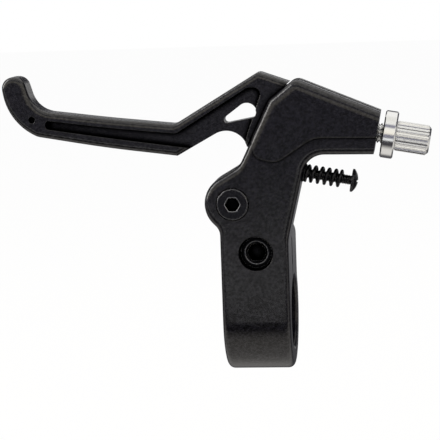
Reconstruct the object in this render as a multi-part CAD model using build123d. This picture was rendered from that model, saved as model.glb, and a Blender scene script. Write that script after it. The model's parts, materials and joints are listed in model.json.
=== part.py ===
from build123d import *
import os
from math import cos, pi, radians, sin, tan

# A bicycle brake lever for a flat handlebar. Millimetres and degrees.
# The bar's axis is X, up is +Z, and the front face looks along -Y.
# The origin is the middle of the handlebar clamp, on the bar's axis.

# Handlebar clamp
bar_dia = 22.2
clamp_wall = 6.2
clamp_width = 20.4
clamp_bore_chamfer = 0.6
slit_width = 1.3
tongue_top = 28.5
tongue_depth = 16.5
tongue_corner = 6.0

# Clevis that carries the lever
pivot_offset = 6.0
pivot_height = 35.6
boss_radius = 8.5
cheek = 3.9
slot_width = 6.0
shoulder_length = 7.5
shoulder_round = 4.0
cheek_root_round = 7.0
cheek_bend_reach = 6.0
cheek_bend_rise = 4.9
cheek_bend_round = 3.0
waist_height = 24.6
waist_round = 12.0
edge_round = 2.0
rear_edge_round = 1.0

# Cable housing, measured along and across the cable from the pivot
cable_tilt = 10.3
cable_arm = 27.1
housing_reach = 38.8
housing_rise = 6.4
housing_drop = 6.0
crown_reach = 12.5
crown_rise = 12.25
armpit_reach = 19.4
armpit_drop = 9.2
armpit_round = 6.5
panel_step = 0.7
panel_lip = 0.15
panel_edge_round = 0.5
cable_slot_width = 2.2
cable_hole_dia = 2.6

# Lever, measured from the pivot
hub_radius = 7.4
hub_thickness = 5.0
blade_thickness = 9.6
lever_reach = 69.3
hook_rise = 39.2
tip_width = 7.0
blade_depth = 9.3
blade_rise = 14.5
blade_edge_round = 1.6
top_flange = 2.5
bottom_flange = 3.1
finger_radius = 6.5
stop_gap = 0.4
back_gap = 0.5
lever_back = 6.5
nipple_dia = 7.0
nipple_slack = 0.1
nipple_wall = 1.6
nipple_reach = 8.0
dimple_dia = 2.0
dimple_depth = 0.8

# Pivot; a socket's flare is how far its mouth opens, as a share of its half width
pivot_bolt_dia = 5.0
pivot_head_dia = 9.4
pivot_head_height = 2.5
pivot_head_sink = 2.1
pivot_head_round = 0.4
pivot_socket = 4.0
pivot_socket_depth = 1.6
pivot_socket_flare = 0.06
pivot_nut_flats = 8.0
pivot_nut_height = 2.7
pivot_nut_sink = 2.2
bush_wall = 1.0
washer_dia = 12.0
washer_thickness = 0.4

# Clamp bolt
clamp_bolt_offset = 0.5
clamp_bolt_height = 20.7
clamp_bolt_dia = 6.0
clamp_head_dia = 10.0
clamp_head_height = 6.0
clamp_head_sink = 8.4
clamp_head_round = 0.5
clamp_socket = 5.0
clamp_socket_depth = 3.0
clamp_socket_flare = 0.36
clamp_nut_flats = 10.0
clamp_nut_height = 5.0

# Reach screw and its spring
reach_arm = 11.9
reach_screw_dia = 3.0
reach_head_dia = 6.9
reach_head_height = 2.0
reach_bare = 2.6
reach_tip_set = 2.4
reach_nut_flats = 5.5
reach_nut_height = 2.4
spring_dia = 5.5
spring_wire = 0.9
spring_length = 12.3
spring_pitch = 2.05
seat_depth = 0.5

# Barrel adjuster and its lock ring
barrel_thread_dia = 6.0
barrel_engaged = 9.0
barrel_gap = 1.6
ring_dia = 14.1
ring_width = 3.9
ring_chamfer = 0.4
knob_dia = 8.9
knob_length = 10.1
knob_splines = 22
spline_depth = 0.35
knob_chamfer = 0.9
casing_dia = 5.0
casing_depth = 8.0
inner_cable_dia = 2.2

# Clearances between pieces
running = 0.05
press_slack = 0.01
pocket_slack = 0.1
hole_slack = 0.2

# Places worked out from the sizes above
bore_radius = bar_dia / 2
clamp_radius = bore_radius + clamp_wall
half_width = clamp_width / 2
front_y = -clamp_radius
rear_y = front_y + 2 * cheek + slot_width
lever_y = (front_y + rear_y) / 2
tongue_front = rear_y + slit_width
tongue_rear = tongue_front + tongue_depth
pivot = (-pivot_offset, pivot_height)
clamp_bolt_at = (clamp_bolt_offset, clamp_bolt_height)
tilt_cos = cos(radians(cable_tilt))
tilt_sin = sin(radians(cable_tilt))
beyond = 1.0


def polar(radius, angle):
    """A point about the pivot."""
    return (pivot[0] + radius * cos(radians(angle)), pivot[1] + radius * sin(radians(angle)))


def level(x, z):
    """A point given from the pivot, level with the bar."""
    return (pivot[0] + x, pivot[1] + z)


def tilted(s, t):
    """A point given from the pivot, s along the cable and t across it."""
    return (pivot[0] + s * tilt_cos + t * tilt_sin, pivot[1] - s * tilt_sin + t * tilt_cos)


def along_cable(edge):
    """How far along the cable from the pivot the middle of an edge lies."""
    middle = edge.center()
    return (middle.X - pivot[0]) * tilt_cos - (middle.Z - pivot[1]) * tilt_sin


def outline(corners):
    """A face from corners, each a point and the radius that rounds it."""
    points = [corner[0] for corner in corners]
    radii = [corner[1] for corner in corners]
    return make_face(FilletPolyline(*points, radius=radii, close=True).edges())


def bow(before, corner, after, share):
    """The radius that rounds a corner over a share of its shorter side."""
    arriving = Vector(corner[0] - before[0], corner[1] - before[1])
    leaving = Vector(after[0] - corner[0], after[1] - corner[1])
    reach = share * min(arriving.length, leaving.length)
    return reach / tan(radians(arriving.get_angle(leaving) / 2))


def sharp(points):
    """A face with straight sides and sharp corners."""
    return make_face(Polyline(*points, close=True).edges())


def front_plane(y):
    """The plane at depth y that faces the front, with X to the right and Z up."""
    return Plane(origin=(0, y, 0), x_dir=(1, 0, 0), z_dir=(0, -1, 0))


def slab(face, y_front, y_rear):
    """A flat outline given depth, from its front face to its rear face."""
    return extrude(front_plane(y_rear) * face, y_rear - y_front)


def disc(centre, radius, y_front, y_rear):
    """A round bar along the depth."""
    return slab(Pos(*centre) * Circle(radius), y_front, y_rear)


def hexagon(flats):
    """A hexagon by its width across flats."""
    return RegularPolygon(flats / 2, 6, major_radius=False)


def axis_plane(s, t):
    """The plane across the cable's direction at a tilted point, in the lever's middle plane."""
    x, z = tilted(s, t)
    return Plane(origin=(x, lever_y, z), x_dir=(0, 1, 0), z_dir=(tilt_cos, 0, -tilt_sin))


def rod(face, t, s_start, s_end):
    """A section drawn across the cable's direction, given length along it."""
    return extrude(axis_plane(s_start, t) * face, s_end - s_start)


def turned(profile):
    """A turned piece about the Z axis, from radius and height pairs."""
    return revolve(Plane.XZ * sharp(profile), Axis.Z)


def edges_at(solid, y):
    """The edges that lie in the plane at depth y."""
    return solid.edges().filter_by_position(Axis.Y, y - 0.001, y + 0.001)


def round_front_and_rear(solid, y_front, y_rear, front_radius, rear_radius):
    """Rounds a slab's outline, but not its foot on the bar or the housing's end face."""
    for y, radius in ((y_front, front_radius), (y_rear, rear_radius)):
        chosen = [e for e in edges_at(solid, y) if e.center().Z > 0.001]
        chosen = [e for e in chosen if along_cable(e) < housing_reach - 0.001]
        solid = fillet(chosen, radius)
    return solid


# Corners of the bracket's outline, clockwise from the clamp's left side
boss_low_angle = 225
boss_high_angle = 120
boss_half_turn = (boss_low_angle - boss_high_angle) / 2
boss_corner = polar(boss_radius / cos(radians(boss_half_turn)), boss_low_angle - boss_half_turn)
boss_low = polar(boss_radius, boss_low_angle)
boss_high = polar(boss_radius, boss_high_angle)
clamp_shoulder = (
    -half_width,
    boss_low[1] - (-half_width - boss_low[0]) / tan(radians(boss_low_angle - 180)),
)
cheek_root = (
    boss_high[0] + shoulder_length * sin(radians(boss_high_angle)),
    boss_high[1] - shoulder_length * cos(radians(boss_high_angle)),
)
cheek_bend = tilted(cheek_bend_reach, cable_arm + cheek_bend_rise)
crown = tilted(crown_reach, cable_arm + crown_rise)
end_top = tilted(housing_reach, cable_arm + housing_rise)
end_low = tilted(housing_reach, cable_arm - housing_drop)
armpit = tilted(armpit_reach, cable_arm - armpit_drop)
arm_waist = (half_width, waist_height)

# The lever's back edge and the slot's back wall, from the hub upwards
nipple_back = nipple_reach + nipple_dia / 2 + nipple_slack + nipple_wall
nipple_foot = cable_arm - 5.6
lever_top = cable_arm + 10.0


def back_line(gap, top):
    """Points up the lever's back edge, moved back by a gap."""
    return [
        tilted(lever_back + gap, 0),
        tilted(nipple_back + gap, nipple_foot),
        tilted(nipple_back + gap, top),
    ]


def arm_surface_at(t):
    """How far along the cable's direction the arm's right side lies at height t."""
    x, z = tilted(0, t)
    run, rise = armpit[0] - arm_waist[0], armpit[1] - arm_waist[1]
    across = (arm_waist[0] - x) * rise - (arm_waist[1] - z) * run
    return across / (tilt_cos * rise + tilt_sin * run)


# Stations along the reach screw and the cable
seat_s = arm_surface_at(reach_arm) - seat_depth
wall_s = lever_back + (nipple_back - lever_back) * reach_arm / nipple_foot + back_gap
tip_s = wall_s + reach_tip_set
reach_nut_s = tip_s + hole_slack
head_s = seat_s + spring_length + reach_bare
thread_s = housing_reach - barrel_engaged
ring_s = housing_reach + barrel_gap
knob_s = ring_s + ring_width + running


def arm_face():
    """The bracket's whole front outline above the bar's axis."""
    crown_round = edge_round + panel_step + 0.2
    return outline([
        ((-half_width, 0), 0),
        (clamp_shoulder, shoulder_round),
        (boss_corner, boss_radius),
        (cheek_root, cheek_root_round),
        (cheek_bend, cheek_bend_round),
        (crown, crown_round),
        (end_top, 0),
        (end_low, 0),
        (armpit, armpit_round),
        (arm_waist, waist_round),
        ((half_width, 0), 0),
    ])


def housing_panel():
    """The raised panel on both sides of the cable housing, with rounded shoulders."""
    y_front, y_rear = front_y - panel_step, rear_y + panel_step
    shoulder = edge_round + panel_step
    shell = slab(offset(arm_face(), panel_lip, kind=Kind.INTERSECTION), y_front, y_rear)
    shell = round_front_and_rear(shell, y_front, y_rear, shoulder, shoulder)
    far = 3 * crown_rise
    panel_left = cable_arm - 5.0
    region = slab(outline([
        (tilted(-far, panel_left), 0),
        (tilted(-far, cable_arm + far), 0),
        (tilted(housing_reach, cable_arm + far), 0),
        (tilted(housing_reach, cable_arm - 0.9), 0),
        (tilted(20.5, cable_arm - 3.9), 8.0),
        (tilted(11.1, cable_arm - 12.9), 5.0),
        (tilted(4.1, cable_arm - 12.5), 3.5),
        (tilted(2.2, panel_left), 0),
    ]), y_front, y_rear)
    lower = [e for y in (y_front, y_rear) for e in edges_at(region, y)]
    lower = [e for e in lower if 0 < along_cable(e) < housing_reach - 0.001]
    lower = [e for e in lower if e.center().Z < tilted(0, cable_arm)[1]]
    return shell & fillet(lower, panel_edge_round)


def slot_face():
    """The gap between the cheeks where the lever swings, open to the left and the top."""
    top = cable_arm + 3 * crown_rise
    reach = 2 * lever_reach
    return Pos(*pivot) * Circle(hub_radius + back_gap) + sharp([
        pivot,
        polar(reach, boss_low_angle + 3),
        level(-reach, reach),
        *reversed(back_line(back_gap, top)),
    ])


def lever_bracket():
    """The bracket: clamp ring, tongue, clevis and cable housing in one moulding."""
    ring = Plane.YZ * Pos(0, 0, -half_width) * extrude(Circle(clamp_radius), clamp_width)
    ring = fillet(ring.edges().filter_by(GeomType.CIRCLE), edge_round)
    tongue = slab(outline([
        ((-half_width, 0), 0),
        ((-half_width, tongue_top), tongue_corner),
        ((half_width, tongue_top), tongue_corner),
        ((half_width, 0), 0),
    ]), tongue_front, tongue_rear)
    tongue = fillet([e for e in edges_at(tongue, tongue_rear) if e.center().Z > 0.001], edge_round)
    arm = slab(arm_face(), front_y, rear_y)
    arm = round_front_and_rear(arm, front_y, rear_y, edge_round, rear_edge_round)
    body = arm + housing_panel() + ring + tongue

    bore_flare = bore_radius + 2 * clamp_bore_chamfer
    outside = half_width + clamp_bore_chamfer
    inside = half_width - clamp_bore_chamfer
    body -= revolve(Plane.XZ * sharp([
        (-outside, 0),
        (-outside, bore_flare),
        (-inside, bore_radius),
        (inside, bore_radius),
        (outside, bore_flare),
        (outside, 0),
    ]), Axis.X)
    slit = Pos(0, tongue_top) * Rectangle(2 * clamp_width, 2 * tongue_top)
    body -= slab(slit, rear_y, tongue_front)
    body -= slab(slot_face(), front_y + cheek, rear_y - cheek)

    body -= disc(pivot, pivot_bolt_dia / 2 + running, front_y - beyond, rear_y + beyond)
    body -= disc(pivot, pivot_head_dia / 2 + hole_slack, front_y - beyond, front_y + pivot_head_sink)
    nut_pocket = Pos(*pivot) * hexagon(pivot_nut_flats + 2 * pocket_slack)
    body -= slab(nut_pocket, rear_y - pivot_nut_sink, rear_y + beyond)

    head_sink = front_y + clamp_head_sink
    body -= disc(clamp_bolt_at, clamp_bolt_dia / 2 + hole_slack, front_y, tongue_rear)
    body -= disc(clamp_bolt_at, clamp_head_dia / 2 + hole_slack, front_y - beyond, head_sink)
    nut_pocket = Pos(*clamp_bolt_at) * hexagon(clamp_nut_flats + 2 * pocket_slack)
    body -= slab(nut_pocket, tongue_rear - clamp_nut_height, tongue_rear + beyond)

    body -= rod(Circle(reach_screw_dia / 2 + hole_slack), reach_arm, wall_s - beyond, seat_s + beyond)
    body -= rod(Circle(spring_dia / 2 + hole_slack), reach_arm, seat_s, seat_s + spring_length)
    nut_pocket = hexagon(reach_nut_flats + 2 * pocket_slack)
    body -= rod(nut_pocket, reach_arm, wall_s - beyond, reach_nut_s + reach_nut_height)

    bore_start = thread_s - 2 * barrel_gap
    thread_bore = Circle(barrel_thread_dia / 2 + running)
    body -= rod(thread_bore, cable_arm, bore_start, housing_reach + beyond)
    body -= rod(Circle(cable_hole_dia / 2), cable_arm, nipple_back, bore_start + beyond)
    slot_top = cable_arm + 3 * crown_rise
    cable_slot = sharp([
        tilted(nipple_back, cable_arm),
        tilted(nipple_back, slot_top),
        tilted(housing_reach + beyond, slot_top),
        tilted(housing_reach + beyond, cable_arm),
    ])
    body -= slab(cable_slot, lever_y - cable_slot_width / 2, lever_y + cable_slot_width / 2)
    return body


# Corners of the lever's outline, from the pivot
root_low = (-16.3, blade_rise)
hook_low = (10.7 - lever_reach, blade_rise + 6.65)
mid_low = ((root_low[0] + hook_low[0]) / 2, blade_rise + 2.85)
hook_out = (2.0 - lever_reach, blade_rise + 11.4)
tip_out = (-lever_reach, hook_rise)
tip_in = (tip_width - lever_reach, hook_rise)
hook_in = (10.0 - lever_reach, blade_rise + blade_depth + 5.2)
root_top = (root_low[0] - 0.7, blade_rise + blade_depth)
mid_top = (mid_low[0], blade_rise + blade_depth + 2.25)
peak = (8.5, 38.8)
neck_low = (4.75, 26.0)
tip_round = 0.49 * tip_width


def blade_face():
    """The lever's outline, carried on past the cheeks' edge where the stop gap will trim it."""
    return outline([
        (level(*root_low), 0),
        (level(*mid_low), bow(root_low, mid_low, hook_low, 0.4)),
        (level(*hook_low), bow(mid_low, hook_low, hook_out, 0.08)),
        (level(*hook_out), bow(hook_low, hook_out, tip_out, 0.85)),
        (level(*tip_out), tip_round),
        (level(*tip_in), tip_round),
        (level(*hook_in), 8.0),
        (level(*mid_top), bow(hook_in, mid_top, root_top, 0.3)),
        (level(*root_top), 3.0),
        (level(*peak), 1.8),
        (level(peak[0] + 10.5, peak[1] - 3.8), 0),
        (level(12.0, 20.4), 0),
        (level(neck_low[0], 10.0), 0),
        (level(*neck_low), finger_radius),
    ])


def pocket_face():
    """The recess between the blade's flanges, open along the neck's lower edge."""
    end = 13.5 - lever_reach
    end_low = (end, hook_low[1] + bottom_flange - 0.8)
    end_top = (end, hook_in[1] - 0.4 - top_flange)
    top = (mid_top[0], mid_top[1] - top_flange)
    root = (root_top[0] + 0.6, root_top[1] - top_flange)
    mouth = (-8.5, root_low[1] + 1.7)
    low = (mid_low[0], mid_low[1] + bottom_flange)
    return outline([
        (level(*end_low), 1.1),
        (level(*end_top), 1.1),
        (level(*top), bow(end_top, top, root, 0.3)),
        (level(*root), 3.0),
        (level(peak[0] - 3.2, peak[1] - 4.4), 1.5),
        (level(peak[0] + 1.4, peak[1] - 4.5), 2.0),
        (level(2.6, 14.0), 0),
        (level(*mouth), 0),
        (level(*low), bow(mouth, low, end_low, 0.3)),
    ])


def window_face():
    """The rounded three-cornered hole through the neck."""
    return outline([
        (level(-5.3, 23.1), 1.0),
        (level(5.5, 31.0), 3.0),
        (level(8.9, 25.65), 1.9),
    ])


def tongue_face():
    """The thin part of the lever that runs between the cheeks to the hub."""
    return sharp([
        polar(hub_radius, 140),
        (cheek_root[0] + 0.6, cheek_root[1] - 0.4),
        level(4.9, 15.6),
        level(3.6, 20.5),
        level(2.0, 27.0),
        level(peak[0] + 0.5, peak[1] - 3.0),
        *reversed(back_line(0, lever_top)),
    ]) + Pos(*pivot) * Circle(hub_radius)


def lever_blade():
    """The lever: hooked blade of I section, neck with a window, and hub tongue."""
    y_front, y_rear = lever_y - blade_thickness / 2, lever_y + blade_thickness / 2
    hub_front, hub_rear = lever_y - hub_thickness / 2, lever_y + hub_thickness / 2
    cheeks = offset(arm_face(), stop_gap, kind=Kind.INTERSECTION)
    stop_wall = slab(cheeks, y_front, y_rear)
    blade = slab(blade_face() - cheeks, y_front, y_rear)
    rims = [*edges_at(blade, y_front), *edges_at(blade, y_rear)]
    blade = fillet([e for e in rims if stop_wall.distance_to(e.center()) > 0.001], blade_edge_round)
    blade -= slab(pocket_face(), y_front - beyond, hub_front)
    blade -= slab(pocket_face(), hub_rear, y_rear + beyond)
    blade += slab(tongue_face(), hub_front, hub_rear)
    blade -= slab(window_face(), y_front, y_rear)
    blade -= disc(pivot, pivot_bolt_dia / 2 + running + bush_wall + press_slack, y_front, y_rear)
    nipple_at = tilted(nipple_reach, cable_arm)
    blade -= disc(nipple_at, nipple_dia / 2 + nipple_slack, y_front, y_rear)
    groove = sharp([
        tilted(nipple_reach, cable_arm - inner_cable_dia / 2),
        tilted(nipple_reach, cable_arm + inner_cable_dia / 2),
        tilted(nipple_back + beyond, cable_arm + inner_cable_dia / 2),
        tilted(nipple_back + beyond, cable_arm - inner_cable_dia / 2),
    ])
    blade -= slab(groove, lever_y - inner_cable_dia / 2, y_rear)
    dimple_at = level(9.5 - lever_reach, hook_in[1] - 2.7)
    blade -= disc(dimple_at, dimple_dia / 2, y_front - beyond, y_front + dimple_depth)
    return blade


def socket_cut(flats, depth, top, flare_share):
    """A hexagon socket with a countersunk mouth, sunk down from a bolt head's top."""
    throat = flats / 2
    flare = throat * flare_share
    cone = turned([(0, top - flare), (throat, top - flare), (throat + flare, top), (0, top)])
    return Pos(0, 0, top - depth) * extrude(hexagon(flats), depth) + cone


def bolt_on(centre, y_head, shape):
    """Puts a bolt, drawn with its shank down and its head's seat at zero, in from the front."""
    return front_plane(y_head) * Pos(centre[0], centre[1]) * shape


def bolt(dia, length, head_dia, head_height, head_round, socket):
    """A socket bolt: head above zero, shank below."""
    head = extrude(Circle(head_dia / 2), head_height)
    head = fillet(head.edges().sort_by(Axis.Z)[-1], head_round)
    shank = Pos(0, 0, -length) * extrude(Circle(dia / 2), length)
    return head + shank - socket


def hex_nut(flats, height, bore):
    """A plain hexagon nut standing on zero."""
    return extrude(hexagon(flats) - Circle(bore / 2), height)


def pivot_bolt():
    y_head = front_y + pivot_head_sink
    length = rear_y - pivot_nut_sink + pivot_nut_height - y_head
    socket = socket_cut(pivot_socket, pivot_socket_depth, pivot_head_height, pivot_socket_flare)
    shape = bolt(pivot_bolt_dia, length, pivot_head_dia, pivot_head_height, pivot_head_round, socket)
    return bolt_on(pivot, y_head, shape)


def pivot_nut():
    y_rear = rear_y - pivot_nut_sink + pivot_nut_height
    nut = hex_nut(pivot_nut_flats, pivot_nut_height, pivot_bolt_dia + 2 * press_slack)
    return bolt_on(pivot, y_rear, nut)


def pivot_bush():
    bore = pivot_bolt_dia / 2 + running
    ring = Pos(*pivot) * (Circle(bore + bush_wall) - Circle(bore))
    return slab(ring, lever_y - hub_thickness / 2, lever_y + hub_thickness / 2)


def pivot_washer(side):
    """A thin washer beside the hub, on the front side for -1 and the rear side for 1."""
    middle = lever_y + side * (hub_thickness + slot_width) / 4
    ring = Pos(*pivot) * (Circle(washer_dia / 2) - Circle(pivot_bolt_dia / 2 + 2 * running))
    return slab(ring, middle - washer_thickness / 2, middle + washer_thickness / 2)


def clamp_bolt():
    y_head = front_y + clamp_head_sink
    length = tongue_rear - y_head
    socket = socket_cut(clamp_socket, clamp_socket_depth, clamp_head_height, clamp_socket_flare)
    shape = bolt(clamp_bolt_dia, length, clamp_head_dia, clamp_head_height, clamp_head_round, socket)
    return bolt_on(clamp_bolt_at, y_head, shape)


def clamp_nut():
    nut = hex_nut(clamp_nut_flats, clamp_nut_height, clamp_bolt_dia + 2 * press_slack)
    return bolt_on(clamp_bolt_at, tongue_rear, nut)


def reach_screw():
    """The pan-head screw, with a cross recess in its head."""
    shank = extrude(Circle(reach_screw_dia / 2), head_s - tip_s)
    rim = reach_head_height * 0.3
    dome = reach_head_height - rim
    head_radius = reach_head_dia / 2
    sphere_radius = (head_radius ** 2 + dome ** 2) / (2 * dome)
    head = extrude(Circle(head_radius), reach_head_height)
    head &= Pos(0, 0, reach_head_height - sphere_radius) * Sphere(sphere_radius)
    recess = Rectangle(reach_head_dia * 0.55, 0.8) + Rectangle(0.8, reach_head_dia * 0.55)
    head -= Pos(0, 0, rim) * extrude(recess, reach_head_height)
    return axis_plane(tip_s, reach_arm) * (shank + Pos(0, 0, head_s - tip_s) * head)


def reach_nut():
    nut = hex_nut(reach_nut_flats, reach_nut_height, reach_screw_dia + 2 * running)
    return axis_plane(reach_nut_s, reach_arm) * nut


def reach_spring():
    """The loose compression spring round the reach screw, wound left-handed."""
    coil_radius = (spring_dia - spring_wire) / 2
    path = Helix(spring_pitch, spring_length - spring_wire, coil_radius, lefthand=True)
    section = Plane(origin=path @ 0, z_dir=path % 0) * Circle(spring_wire / 2)
    return axis_plane(seat_s + spring_wire / 2 + running, reach_arm) * sweep(section, path=path)


def barrel_lock_ring():
    half = ring_dia / 2
    bore = barrel_thread_dia / 2 + running
    ring = turned([
        (bore, 0),
        (half - ring_chamfer, 0),
        (half, ring_chamfer),
        (half, ring_width - ring_chamfer),
        (half - ring_chamfer, ring_width),
        (bore, ring_width),
    ])
    return axis_plane(ring_s, cable_arm) * ring


def barrel_adjuster():
    """The adjuster: threaded stem, splined grip, casing socket and cable hole."""
    outer = knob_dia / 2
    inner = outer - spline_depth
    step = 2 * pi / knob_splines
    ridges = []
    for i in range(knob_splines):
        for radius, turn in ((inner, -0.3), (outer, -0.12), (outer, 0.12), (inner, 0.3)):
            angle = (i + turn) * step
            ridges.append((radius * cos(angle), radius * sin(angle)))
    grip = extrude(sharp(ridges), knob_length)
    grip &= turned([
        (0, 0),
        (outer - spline_depth, 0),
        (outer, spline_depth),
        (outer, knob_length - knob_chamfer),
        (outer - knob_chamfer, knob_length),
        (0, knob_length),
    ])
    stem_length = knob_s - thread_s
    body = extrude(Circle(barrel_thread_dia / 2), stem_length) + Pos(0, 0, stem_length) * grip
    total = stem_length + knob_length
    body -= extrude(Circle(inner_cable_dia / 2), total)
    body -= Pos(0, 0, total - casing_depth) * extrude(Circle(casing_dia / 2 + pocket_slack), casing_depth)
    return axis_plane(thread_s, cable_arm) * body


pieces = {
    "lever_bracket": lever_bracket(),
    "lever_blade": lever_blade(),
    "pivot_bolt": pivot_bolt(),
    "pivot_nut": pivot_nut(),
    "pivot_bush": pivot_bush(),
    "pivot_washer_front": pivot_washer(-1),
    "pivot_washer_rear": pivot_washer(1),
    "clamp_bolt": clamp_bolt(),
    "clamp_nut": clamp_nut(),
    "reach_screw": reach_screw(),
    "reach_nut": reach_nut(),
    "reach_spring": reach_spring(),
    "barrel_adjuster": barrel_adjuster(),
    "barrel_lock_ring": barrel_lock_ring(),
}

os.makedirs("parts", exist_ok=True)
for name, shape in pieces.items():
    export_step(shape, f"parts/{name}.step")
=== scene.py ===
import json
import math

import bpy
from mathutils import Matrix, Vector


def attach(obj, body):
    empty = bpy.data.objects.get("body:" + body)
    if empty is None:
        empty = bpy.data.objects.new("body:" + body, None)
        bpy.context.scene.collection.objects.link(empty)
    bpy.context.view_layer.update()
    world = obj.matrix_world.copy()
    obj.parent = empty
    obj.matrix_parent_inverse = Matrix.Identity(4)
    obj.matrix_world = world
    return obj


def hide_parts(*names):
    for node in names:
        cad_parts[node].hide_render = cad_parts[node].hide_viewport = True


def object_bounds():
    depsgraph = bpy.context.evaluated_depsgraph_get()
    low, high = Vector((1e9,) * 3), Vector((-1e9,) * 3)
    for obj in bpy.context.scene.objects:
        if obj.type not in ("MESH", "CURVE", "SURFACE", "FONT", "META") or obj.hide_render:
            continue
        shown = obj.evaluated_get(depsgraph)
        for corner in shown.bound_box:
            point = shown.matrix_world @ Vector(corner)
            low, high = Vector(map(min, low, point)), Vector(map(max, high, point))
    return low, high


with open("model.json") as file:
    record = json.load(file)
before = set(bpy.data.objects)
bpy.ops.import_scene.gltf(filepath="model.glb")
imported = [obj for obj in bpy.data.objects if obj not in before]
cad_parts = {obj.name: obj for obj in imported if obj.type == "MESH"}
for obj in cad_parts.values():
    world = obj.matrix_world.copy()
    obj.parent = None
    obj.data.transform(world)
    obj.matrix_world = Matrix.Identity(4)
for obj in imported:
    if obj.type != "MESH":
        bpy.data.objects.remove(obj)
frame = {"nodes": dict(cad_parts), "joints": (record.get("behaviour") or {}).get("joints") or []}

cad_low, cad_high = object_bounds()
scene = bpy.context.scene
scene.view_settings.view_transform = "Standard"

FULL_TURN = 2 * math.pi
MM_PER_METRE = 1000
BLACK, WHITE = (0.0, 0.0, 0.0), (1, 1, 1)

# The lever's pivot and the cable's direction, from the joints
JOINTS = {joint["name"]: joint for joint in frame["joints"]}
PIVOT = Vector(JOINTS["lever_pivot"]["pos_m"])
CABLE = Vector(JOINTS["barrel_turn"]["axis"]).normalized()
ACROSS = Vector((-CABLE.z, 0, CABLE.x))
FRONT = Vector((0, -1, 0))


def ends(name, way):
    """A node's nearest and furthest places in one direction, from the pivot, in metres."""
    measures = [(vertex.co - PIVOT).dot(way) for vertex in frame["nodes"][name].data.vertices]
    return min(measures), max(measures)


# How far from the pivot the axes of the screw and the adjuster lie, across the cable
REACH_ARM = sum(ends("reach_screw", ACROSS)) / 2
CABLE_ARM = sum(ends("barrel_adjuster", ACROSS)) / 2


def place(along, across):
    """A point in the lever's middle plane, from the pivot along and across the cable."""
    return PIVOT + CABLE * along + ACROSS * across


def around(along, across, radius, angle):
    """A point beside an axis that runs with the cable, at an angle from its upper side to its front."""
    return place(along, across) + (ACROSS * math.cos(angle) + FRONT * math.sin(angle)) * radius


def smooth(value, start, end):
    """Eases from 0 at the start to 1 at the end."""
    share = min(1.0, max(0.0, (value - start) / (end - start)))
    return share * share * (3 - 2 * share)


class Nodes:
    """A node tree, with short ways to add the nodes that the looks need."""

    def __init__(self, tree):
        self.tree = tree
        self.coords = self.add("ShaderNodeTexCoord")

    def add(self, kind, **sockets):
        """A new node with constants on its sockets, whose names have underscores for spaces."""
        node = self.tree.nodes.new(kind)
        for key, value in sockets.items():
            node.inputs[key.replace("_", " ")].default_value = value
        return node

    def link(self, source, target):
        self.tree.links.new(source, target)

    def noise(self, scale, detail=4.0, roughness=0.55):
        node = self.add("ShaderNodeTexNoise", Scale=scale, Detail=detail, Roughness=roughness)
        self.link(self.coords.outputs["Object"], node.inputs["Vector"])
        return node.outputs["Fac"]

    def ramp(self, factor, stops):
        """A colour ramp from stops, each a position and a colour."""
        node = self.add("ShaderNodeValToRGB")
        elements = node.color_ramp.elements
        while len(elements) < len(stops):
            elements.new(0.5)
        for element, (position, colour) in zip(elements, stops):
            element.position = position
            element.color = (*colour, 1)
        self.link(factor, node.inputs["Fac"])
        return node.outputs["Color"]

    def span(self, factor, low=0.0, high=1.0, start=0.0, end=1.0):
        """Maps the range from start to end onto the range from low to high."""
        node = self.add("ShaderNodeMapRange", From_Min=start, From_Max=end, To_Min=low, To_Max=high)
        self.link(factor, node.inputs["Value"])
        return node.outputs["Result"]

    def bump(self, height, distance, strength, normal):
        node = self.add("ShaderNodeBump", Distance=distance, Strength=strength)
        self.link(height, node.inputs["Height"])
        self.link(normal, node.inputs["Normal"])
        return node.outputs["Normal"]

    def soft_edges(self, radius):
        """Normals that round every edge a little."""
        node = self.add("ShaderNodeBevel", Radius=radius)
        node.samples = 6
        return node.outputs["Normal"]

    def openness(self, reach, inside=False):
        """How open a face is to what lies around it or, from inside, how thick the piece is behind it."""
        node = self.add("ShaderNodeAmbientOcclusion", Distance=reach)
        node.samples = 8
        node.inside = inside
        node.only_local = inside
        return node.outputs["AO"]

    def painted_hollow_shade(self, reach):
        """Painted shade: black deep in hollows and white on an open face."""
        return self.ramp(self.openness(reach), [(0.68, BLACK), (0.97, WHITE)])

    def worn_and_highlit_edges(self, reach):
        """One on a sharp outer edge and zero on a flat face; it marks edges that are partly worn and partly
        given a painted highlight.
        """
        return self.span(self.openness(reach, inside=True), start=0.97, end=0.85)

    def blend(self, factor, first, second):
        """Goes from one colour to another, which may be a constant."""
        node = self.add("ShaderNodeMix")
        node.data_type = "RGBA"
        self.link(factor, node.inputs["Factor"])
        self.link(first, node.inputs["A"])
        if isinstance(second, tuple):
            node.inputs["B"].default_value = (*second, 1)
        else:
            self.link(second, node.inputs["B"])
        return node.outputs["Result"]

    def product(self, first, second):
        """Multiplies two colours."""
        node = self.add("ShaderNodeMix")
        node.data_type = "RGBA"
        node.blend_type = "MULTIPLY"
        node.inputs["Factor"].default_value = 1.0
        self.link(first, node.inputs["A"])
        self.link(second, node.inputs["B"])
        return node.outputs["Result"]

    def either(self, first, second):
        """The larger of two values."""
        node = self.add("ShaderNodeMath")
        node.operation = "MAXIMUM"
        self.link(first, node.inputs[0])
        self.link(second, node.inputs[1])
        return node.outputs["Value"]

    def layered(self, factor, first, second):
        """Goes from one shader to another."""
        node = self.add("ShaderNodeMixShader")
        self.link(factor, node.inputs["Fac"])
        self.link(first, node.inputs[1])
        self.link(second, node.inputs[2])
        return node.outputs["Shader"]


class Look(Nodes):
    """The node tree of a new material, with its main shader."""

    def __init__(self, name):
        self.material = bpy.data.materials.new(name)
        self.material.use_nodes = True
        super().__init__(self.material.node_tree)
        self.shader = self.tree.nodes["Principled BSDF"]

    def feed(self, socket, source):
        """Links a node into the main shader."""
        self.link(source, self.shader.inputs[socket])

    def fix(self, socket, value):
        """Sets a constant on the main shader."""
        self.shader.inputs[socket].default_value = value


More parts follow.
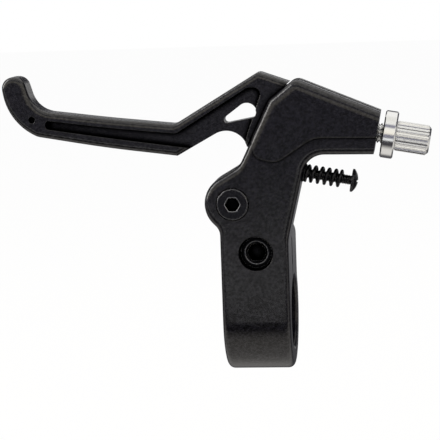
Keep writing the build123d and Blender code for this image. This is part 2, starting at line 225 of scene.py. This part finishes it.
# How far the edges of the black pieces look rounded
BLACK_EDGE = 0.00025


def nylon(name, light, reach, gloss):
    """Moulded black nylon: near-black, with a fine spark-eroded grain and painted shade in its hollows, which
    darkens both its colour and its reflection.
    """
    dark, dull, shiny = (0.0005, 0.0005, 0.001), (0.64, 0.63, 0.61), (1.0, 0.98, 0.94)
    made = Look(name)
    grain = made.noise(scale=1300, detail=3.0, roughness=0.7)
    # Painted shade: the colour and the reflection's tint go black in hollows, by how open each point is.
    depth = made.painted_hollow_shade(reach)
    colour = made.ramp(grain, [(0.35, dark), (0.65, light)])
    made.feed("Base Color", made.product(colour, depth))
    sheen = made.ramp(grain, [(0.4, dull), (0.6, shiny)])
    made.feed("Specular Tint", made.product(sheen, depth))
    made.feed("Roughness", made.span(made.noise(scale=1100, detail=3.0), low=0.13, high=0.23))
    made.fix("Specular IOR Level", gloss)
    rounded = made.soft_edges(BLACK_EDGE)
    coarse = made.bump(grain, distance=0.00009, strength=0.5, normal=rounded)
    specks = made.noise(scale=3600, detail=2.0)
    made.feed("Normal", made.bump(specks, distance=0.00002, strength=0.4, normal=coarse))
    return made.material


def black_steel(name, light, roughness, reach, worn_highlight_reach):
    """Black-oxided steel with a faint sheen, painted shade in its hollows, and barer, lighter metal on its
    edges that is partly wear and partly a painted highlight.
    """
    dark, bare_and_highlit = (0.008, 0.008, 0.01), (0.35, 0.35, 0.36)
    low, high = roughness
    made = Look(name)
    oxide = made.ramp(made.noise(scale=500), [(0.3, dark), (0.75, light)])
    # Painted shade: the oxide's colour and the reflection's tint go black in hollows, by how open each point
    # is.
    depth = made.painted_hollow_shade(reach)
    # Sharp edges turn to lighter bare metal: partly wear, partly a painted highlight.
    made.feed("Base Color", made.blend(made.worn_and_highlit_edges(worn_highlight_reach), made.product(oxide, depth), bare_and_highlit))
    made.feed("Specular Tint", depth)
    made.fix("Metallic", 0.8)
    made.feed("Roughness", made.span(made.noise(scale=1500, detail=3.0), low, high))
    rounded = made.soft_edges(BLACK_EDGE)
    specks = made.noise(scale=3500, detail=2.0)
    made.feed("Normal", made.bump(specks, distance=0.00002, strength=0.4, normal=rounded))
    return made.material


def bright_aluminium(name):
    """Turned aluminium with fine tool marks round its axis."""
    dull, bright = (0.82, 0.82, 0.81), (0.93, 0.93, 0.92)
    made = Look(name)
    along = made.add("ShaderNodeVectorMath")
    along.operation = "DOT_PRODUCT"
    made.link(made.coords.outputs["Object"], along.inputs[0])
    along.inputs[1].default_value = CABLE
    lathe = made.add("ShaderNodeTexNoise", Scale=9000.0, Detail=2.0)
    lathe.noise_dimensions = "1D"
    made.link(along.outputs["Value"], lathe.inputs["W"])
    marks = lathe.outputs["Fac"]
    made.feed("Base Color", made.ramp(marks, [(0.3, dull), (0.7, bright)]))
    made.fix("Metallic", 1.0)
    made.feed("Roughness", made.span(marks, low=0.12, high=0.24))
    rounded = made.soft_edges(0.0002)
    made.feed("Normal", made.bump(marks, distance=0.00001, strength=0.5, normal=rounded))
    return made.material


def plain_steel(name):
    """Bright zinc-plated steel for the hidden bush, washers and nut."""
    dull, bright = (0.42, 0.42, 0.43), (0.6, 0.6, 0.6)
    made = Look(name)
    made.feed("Base Color", made.ramp(made.noise(scale=700, detail=3.0), [(0.3, dull), (0.7, bright)]))
    made.fix("Metallic", 1.0)
    made.feed("Roughness", made.span(made.noise(scale=1800, detail=3.0), low=0.3, high=0.45))
    return made.material


bracket_nylon = nylon("bracket_nylon", (0.008, 0.008, 0.014), reach=0.0016, gloss=0.66)
lever_nylon = nylon("lever_nylon", (0.009, 0.009, 0.014), reach=0.0021, gloss=0.78)
steel_black = black_steel("black_steel", (0.03, 0.03, 0.035), (0.2, 0.32), reach=0.003, worn_highlight_reach=0.00025)
steel_wire = black_steel("black_wire", (0.04, 0.04, 0.043), (0.08, 0.2), reach=0.0006, worn_highlight_reach=0.00004)
steel_plain = plain_steel("bright_steel")
aluminium = bright_aluminium("bright_aluminium")

LOOKS = {
    "lever_bracket": bracket_nylon,
    "lever_blade": lever_nylon,
    "pivot_bolt": steel_black,
    "pivot_nut": steel_black,
    "pivot_bush": steel_plain,
    "pivot_washer_front": steel_plain,
    "pivot_washer_rear": steel_plain,
    "clamp_bolt": steel_black,
    "clamp_nut": steel_black,
    "reach_screw": steel_wire,
    "reach_nut": steel_plain,
    "reach_spring": steel_wire,
    "barrel_adjuster": aluminium,
    "barrel_lock_ring": aluminium,
}
for name, look in LOOKS.items():
    materials = frame["nodes"][name].data.materials
    materials.clear()
    materials.append(look)


# Faces that meet at more than this keep a sharp edge
SHARP_ANGLE = math.radians(40)


def skin(name, rings, look, round_trip=False):
    """A smooth mesh over rings of points, closed by a face at each end or joined end to start."""
    count = len(rings[0])
    faces = []
    for i in range(len(rings) if round_trip else len(rings) - 1):
        this, after = i * count, (i + 1) % len(rings) * count
        for j in range(count):
            k = (j + 1) % count
            faces.append((this + j, this + k, after + k, after + j))
    if not round_trip:
        faces.append(tuple(reversed(range(count))))
        faces.append(tuple((len(rings) - 1) * count + j for j in range(count)))
    mesh = bpy.data.meshes.new(name)
    mesh.from_pydata([point for ring in rings for point in ring], [], faces)
    mesh.polygons.foreach_set("use_smooth", [True] * len(mesh.polygons))
    mesh.set_sharp_from_angle(angle=SHARP_ANGLE)
    mesh.materials.append(look)
    piece = bpy.data.objects.new(name, mesh)
    scene.collection.objects.link(piece)
    return piece


def turned(name, across, rows, count, look, round_trip=False):
    """A turned piece from rows in millimetres: a place along the axis, and a radius or one per angle."""
    rings = []
    for along, radius in rows:
        ring = []
        for j in range(count):
            angle = FULL_TURN * j / count
            here = radius(angle) if callable(radius) else radius
            ring.append(around(along / MM_PER_METRE, across, here / MM_PER_METRE, angle))
        rings.append(ring)
    return skin(name, rings, look, round_trip)


def thread(along, outer, depth, pitch):
    """The radius of a right-hand thread with flat crests and roots, for every angle."""
    steepness, crest = 1.5, 0.25

    def radius(angle):
        phase = (along / pitch - angle / FULL_TURN) % 1.0
        return outer - depth * min(1.0, max(0.0, abs(phase * 2 - 1) * steepness - crest))
    return radius


def thread_rows(start, count, step, outer, depth, pitch):
    """A thread's rows, from one step past its start."""
    return [(start + step * i, thread(step * i, outer, depth, pitch)) for i in range(1, count + 1)]


def carve(piece, cutter):
    """Cuts one mesh out of another for good, and removes the cutter."""
    cut = piece.modifiers.new("cut", "BOOLEAN")
    cut.object = cutter
    cut.solver = "EXACT"
    shapes = bpy.context.evaluated_depsgraph_get()
    mesh = bpy.data.meshes.new_from_object(piece.evaluated_get(shapes))
    piece.modifiers.clear()
    piece.data = mesh
    bpy.data.objects.remove(cutter)


# Reach spring: left-hand coil in metres, whose pitch opens and closes again over these turns
WIRE_RADIUS, COIL_RADIUS = 0.00045, 0.0023
SPRING_TURNS, SPRING_INSET = 6.7, 0.0004227
SPRING_START = ends("reach_spring", CABLE)[0] + SPRING_INSET
CLOSED_PITCH, OPENING, CLOSING = 0.0008, 0.00123, 0.001
OPENS, CLOSES = (0.8, 1.8), (5.9, 6.5)
TURN_STEPS, WIRE_STEPS = 48, 14


def spring_rings():
    """The rings of the spring's wire, from the arm towards the screw's head."""
    rings = []
    along = SPRING_START
    for step in range(round(SPRING_TURNS * TURN_STEPS) + 1):
        turn = step / TURN_STEPS
        pitch = CLOSED_PITCH + OPENING * smooth(turn, *OPENS) - CLOSING * smooth(turn, *CLOSES)
        angle = FULL_TURN * turn
        outward = ACROSS * -math.cos(angle) + FRONT * math.sin(angle)
        sideways = ACROSS * math.sin(angle) + FRONT * math.cos(angle)
        heading = (CABLE * pitch + sideways * FULL_TURN * COIL_RADIUS).normalized()
        beside = heading.cross(outward)
        middle_of_wire = place(along, REACH_ARM) + outward * COIL_RADIUS
        ring = []
        for j in range(WIRE_STEPS):
            round_wire = FULL_TURN * j / WIRE_STEPS
            spoke = outward * math.cos(round_wire) + beside * math.sin(round_wire)
            ring.append(middle_of_wire + spoke * WIRE_RADIUS)
        rings.append(ring)
        along += pitch / TURN_STEPS
    return rings


spring = skin("spring_wire", spring_rings(), steel_wire)
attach(spring, "bracket")
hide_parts("reach_spring")

# Reach screw: M3 thread and a pan head, from the node's tip; lengths in millimetres
SHANK = 20.34
TIP = ends("reach_screw", CABLE)[0] * MM_PER_METRE
SEAT = TIP + SHANK
TIP_RADIUS, CORE_RADIUS, NECK_RADIUS = 1.0, 1.3, 1.35
TIP_CHAMFER, THREAD_END, HEAD_CHAMFER = 0.3, 0.25, 0.12
HEAD_RADIUS, HEAD_RIM, HEAD_DOME, DOME_STEPS = 3.45, 0.6, 1.4, 13
SCREW_SIDES = 48

# Cross recess in the screw's head, in metres
RECESS_HALF_LENGTH, RECESS_HALF_WIDTH, RECESS_CUT = 0.0019, 0.0004, 0.003


def screw_rows():
    """The screw's rows, from its tip to the top of its head."""
    rows = [(TIP, TIP_RADIUS), (TIP + TIP_CHAMFER, CORE_RADIUS)]
    rows += thread_rows(TIP + TIP_CHAMFER, count=315, step=0.0625, outer=1.5, depth=0.28, pitch=0.5)
    rows += [(SEAT - THREAD_END, CORE_RADIUS), (SEAT, NECK_RADIUS)]
    rows += [(SEAT, HEAD_RADIUS - HEAD_CHAMFER), (SEAT + HEAD_CHAMFER, HEAD_RADIUS)]
    rows += [(SEAT + HEAD_RIM, HEAD_RADIUS)]
    ball = (HEAD_RADIUS ** 2 + HEAD_DOME ** 2) / (2 * HEAD_DOME)
    for i in range(1, DOME_STEPS):
        radius = HEAD_RADIUS * (1 - i / DOME_STEPS)
        rows.append((SEAT + HEAD_RIM + HEAD_DOME - ball + math.sqrt(ball ** 2 - radius ** 2), radius))
    return rows


def slot_cutter(arm, other):
    """A bar that cuts one slot of the cross recess, long in one direction and narrow in the other."""
    long, wide = arm * RECESS_HALF_LENGTH, other * RECESS_HALF_WIDTH
    corners = [-long - wide, long - wide, long + wide, wide - long]
    if corners[0].cross(corners[1]).dot(CABLE) < 0:
        corners.reverse()
    floor_of_slot = place((SEAT + HEAD_RIM) / MM_PER_METRE, REACH_ARM)
    rings = [[floor_of_slot + CABLE * deep + corner for corner in corners] for deep in (0, RECESS_CUT)]
    return skin("slot_cutter", rings, steel_wire)


screw = turned("threaded_screw", REACH_ARM, screw_rows(), SCREW_SIDES, steel_wire)
carve(screw, slot_cutter(ACROSS, FRONT))
carve(screw, slot_cutter(FRONT, ACROSS))
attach(screw, "screw")
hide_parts("reach_screw")

# Barrel adjuster: M6 thread, splined grip, casing socket and cable hole, just inside the node's end;
# lengths in millimetres
NECK, INSIDE = 14.55, 0.001
STEM, NODE_END = (end * MM_PER_METRE for end in ends("barrel_adjuster", CABLE))
GRIP, END = STEM + NECK, NODE_END - INSIDE
STEM_RADIUS, STEM_ROOT, PLAIN_END = 2.4, 2.5, 0.5
GRIP_RADIUS, GROOVE, SPLINES = 4.45, 0.35, 22
NEAR_STEP, NEAR_STEPS, FAR_STEP, FAR_STEPS, GRIP_STEPS = 0.06, 6, 0.09, 10, 12
CABLE_RADIUS, SOCKET_RADIUS, SOCKET_DEPTH, SOCKET_CHAMFER = 1.1, 2.6, 8, 0.25
ADJUSTER_SIDES = 220


def splined(limit):
    """The grip's outline: rounded ridges between flat-bottomed grooves, kept inside a chamfer."""
    ridge, groove_floor = 0.12, 0.3

    def radius(angle):
        share = abs((angle * SPLINES / FULL_TURN + 0.5) % 1.0 - 0.5)
        return min(limit, GRIP_RADIUS - GROOVE * smooth(share, ridge, groove_floor))
    return radius


def adjuster_rows():
    """The adjuster's rows: stem and thread, grip, then the socket and the cable hole back to the stem."""
    near, far = NEAR_STEP * NEAR_STEPS, FAR_STEP * FAR_STEPS
    straight = END - GRIP - near - far
    rows = [(STEM, CABLE_RADIUS), (STEM, STEM_RADIUS), (STEM + PLAIN_END, STEM_ROOT)]
    rows += thread_rows(STEM + PLAIN_END, count=133, step=0.1, outer=3.0, depth=0.55, pitch=1.0)
    rows += [(GRIP - PLAIN_END, STEM_ROOT), (GRIP, STEM_ROOT), (GRIP, GRIP_RADIUS - GROOVE)]
    for i in range(1, NEAR_STEPS + 1):
        rows.append((GRIP + NEAR_STEP * i, splined(GRIP_RADIUS - GROOVE + NEAR_STEP * i)))
    for i in range(GRIP_STEPS + 1):
        rows.append((GRIP + near + straight * i / GRIP_STEPS, splined(GRIP_RADIUS)))
    for i in range(1, FAR_STEPS + 1):
        rows.append((END - far + FAR_STEP * i, splined(GRIP_RADIUS - FAR_STEP * i)))
    rows += [(END, SOCKET_RADIUS + SOCKET_CHAMFER), (END - SOCKET_CHAMFER, SOCKET_RADIUS)]
    rows += [(END - SOCKET_DEPTH, SOCKET_RADIUS), (END - SOCKET_DEPTH, CABLE_RADIUS)]
    return rows


adjuster = turned("threaded_adjuster", CABLE_ARM, adjuster_rows(), ADJUSTER_SIDES, aluminium, round_trip=True)
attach(adjuster, "adjuster")
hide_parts("barrel_adjuster")

# Floor, and the bands that the part mirrors of it between two places in Y
FLOOR_REACH, FLOOR_DROP = 3.0, 0.03
MIRRORED_NEAR, MIRRORED_FAR = -0.9, 0.5
MIRRORED_FLOOR = [
    (0.0, (0.24, 0.24, 0.3)),
    (0.15, (0.12, 0.12, 0.17)),
    (0.3, (0.02, 0.02, 0.04)),
    (0.345, (0.98, 0.99, 1.0)),
    (0.465, (0.98, 0.99, 1.0)),
    (0.49, (0.02, 0.02, 0.03)),
    (0.57, (0.02, 0.02, 0.03)),
    (0.61, (0.75, 0.73, 0.7)),
    (0.65, (0.75, 0.73, 0.7)),
    (0.68, (0.06, 0.06, 0.07)),
    (0.8, (0.08, 0.08, 0.09)),
    (1.0, (0.25, 0.25, 0.26)),
]


def paper(name):
    """Studio paper, white in the picture with a faint shadow, and banded in the part's reflections."""
    shaded, pale, glow_share = (0.86, 0.86, 0.86), (0.9, 0.9, 0.9), 0.97
    made = Look(name)
    made.feed("Base Color", made.ramp(made.noise(scale=8, detail=2.0), [(0.3, shaded), (0.7, pale)]))
    made.fix("Roughness", 0.9)
    split = made.add("ShaderNodeSeparateXYZ")
    made.link(made.coords.outputs["Object"], split.inputs["Vector"])
    along = made.span(split.outputs["Y"], start=MIRRORED_NEAR, end=MIRRORED_FAR)
    path = made.add("ShaderNodeLightPath")
    plain = made.either(path.outputs["Is Camera Ray"], path.outputs["Is Transmission Ray"])
    seen = made.either(plain, path.outputs["Is Glossy Ray"])
    glow = made.add("ShaderNodeEmission", Strength=1.0)
    made.link(made.blend(plain, made.ramp(along, MIRRORED_FLOOR), WHITE), glow.inputs["Color"])
    share = made.span(seen, high=glow_share)
    lit = made.layered(share, made.shader.outputs["BSDF"], glow.outputs["Emission"])
    made.link(lit, made.tree.nodes["Material Output"].inputs["Surface"])
    return made.material


floor_level = cad_low.z - FLOOR_DROP
floor_corners = [(-1, -1), (1, -1), (1, 1), (-1, 1)]
floor_mesh = bpy.data.meshes.new("floor")
floor_mesh.from_pydata(
    [(FLOOR_REACH * x, FLOOR_REACH * y, floor_level) for x, y in floor_corners], [], [(0, 1, 2, 3)],
)
floor_mesh.materials.append(paper("studio_paper"))
floor = bpy.data.objects.new("floor", floor_mesh)
scene.collection.objects.link(floor)

# World: white where it is seen, a grey room for light, and two banded walls for reflections, by height
ROOM = (0.2, 0.2, 0.22, 1)
WALL_SEAM = 0.1
FRONT_WALL = [
    (0.5, (0.13, 0.13, 0.2)),
    (0.52, (0.13, 0.13, 0.2)),
    (0.555, (1.0, 0.95, 0.84)),
    (0.78, (1.0, 0.98, 0.92)),
    (0.82, (0.2, 0.2, 0.27)),
    (0.88, (0.2, 0.2, 0.27)),
    (0.91, (1.0, 0.99, 0.95)),
    (1.0, (0.85, 0.84, 0.8)),
]
REAR_WALL = [
    (0.49, (1.0, 1.0, 1.0)),
    (0.5, (0.05, 0.05, 0.06)),
    (0.515, (0.05, 0.05, 0.06)),
    (0.525, (0.6, 0.6, 0.6)),
    (0.565, (0.6, 0.6, 0.6)),
    (0.575, (0.05, 0.05, 0.06)),
    (0.74, (0.05, 0.05, 0.06)),
    (0.78, (1.0, 0.99, 0.97)),
    (0.97, (1.0, 0.99, 0.97)),
    (1.0, (0.85, 0.84, 0.8)),
]
world = bpy.data.worlds.new("studio")
scene.world = world
world.use_nodes = True
studio = Nodes(world.node_tree)
room = studio.tree.nodes["Background"]
room.inputs["Color"].default_value = ROOM
white = studio.add("ShaderNodeBackground", Color=(*WHITE, 1))
mirrored = studio.add("ShaderNodeBackground")
direction = studio.add("ShaderNodeSeparateXYZ")
studio.link(studio.coords.outputs["Generated"], direction.inputs["Vector"])
height = studio.span(direction.outputs["Z"], start=-1.0)
behind = studio.span(direction.outputs["Y"], start=-WALL_SEAM, end=WALL_SEAM)
walls = studio.blend(behind, studio.ramp(height, FRONT_WALL), studio.ramp(height, REAR_WALL))
studio.link(walls, mirrored.inputs["Color"])
path = studio.add("ShaderNodeLightPath")
glossy = path.outputs["Is Glossy Ray"]
lit = studio.layered(glossy, room.outputs["Background"], mirrored.outputs["Background"])
seen = studio.either(path.outputs["Is Camera Ray"], path.outputs["Is Transmission Ray"])
surroundings = studio.layered(seen, lit, white.outputs["Background"])
studio.link(surroundings, studio.tree.nodes["World Output"].inputs["Surface"])

LAMP_TARGET = Vector((0, -0.01, 0.04))


def softbox(name, position, size, power, colour, in_reflections):
    """A soft rectangular lamp that looks at the part's middle, and may show in reflections."""
    data = bpy.data.lights.new(name, "AREA")
    data.shape = "RECTANGLE"
    data.size, data.size_y = size
    data.energy = power
    data.color = colour
    lamp = bpy.data.objects.new(name, data)
    scene.collection.objects.link(lamp)
    lamp.location = position
    lamp.rotation_mode = "QUATERNION"
    lamp.rotation_quaternion = (LAMP_TARGET - Vector(position)).to_track_quat("-Z", "Y")
    lamp.visible_glossy = in_reflections


softbox(
    "top_light", position=(-0.05, 0.08, 0.75), size=(0.7, 0.3),
    power=5.0, colour=(1.0, 0.9, 0.7), in_reflections=False,
)
softbox(
    "right_light", position=(0.7, -0.1, 0.2), size=(0.2, 0.5),
    power=1.5, colour=(1.0, 0.88, 0.7), in_reflections=False,
)
softbox(
    "left_light", position=(-0.6, -0.1, 0.35), size=(0.2, 0.6),
    power=2.0, colour=WHITE, in_reflections=True,
)

# Camera at the photograph's angle; the frame's origin lies at this pixel of the photograph
PHOTO_SIZE = 440
ORIGIN_PIXEL_X, ORIGIN_PIXEL_Y = 261.75, 311.2
METRES_PER_PIXEL, DISTANCE = 0.000308, 0.55
YAW, RISE, ROLL = math.radians(7.0), math.radians(8.0), math.radians(2.0)
SENSOR = 36.0
NEAREST, FURTHEST = 0.05, 20.0

focal_pixels = DISTANCE / METRES_PER_PIXEL
forward = Vector((-math.sin(YAW) * math.cos(RISE), math.cos(YAW) * math.cos(RISE), -math.sin(RISE)))
level_right = Vector((math.cos(YAW), math.sin(YAW), 0))
level_up = level_right.cross(forward)
up = level_up * math.cos(ROLL) + level_right * math.sin(ROLL)
right = level_right * math.cos(ROLL) - level_up * math.sin(ROLL)
aside = right * ((ORIGIN_PIXEL_X - PHOTO_SIZE / 2) / focal_pixels)
below = up * ((ORIGIN_PIXEL_Y - PHOTO_SIZE / 2) / focal_pixels)
eye = -DISTANCE * (forward + aside - below)
camera_data = bpy.data.cameras.new("camera")
camera_data.sensor_width = SENSOR
camera_data.lens = focal_pixels / PHOTO_SIZE * SENSOR
camera_data.clip_start, camera_data.clip_end = NEAREST, FURTHEST
camera = bpy.data.objects.new("camera", camera_data)
scene.collection.objects.link(camera)
camera.matrix_world = Matrix((
    (right.x, up.x, -forward.x, eye.x),
    (right.y, up.y, -forward.y, eye.y),
    (right.z, up.z, -forward.z, eye.z),
    (0, 0, 0, 1),
))
scene.camera = camera
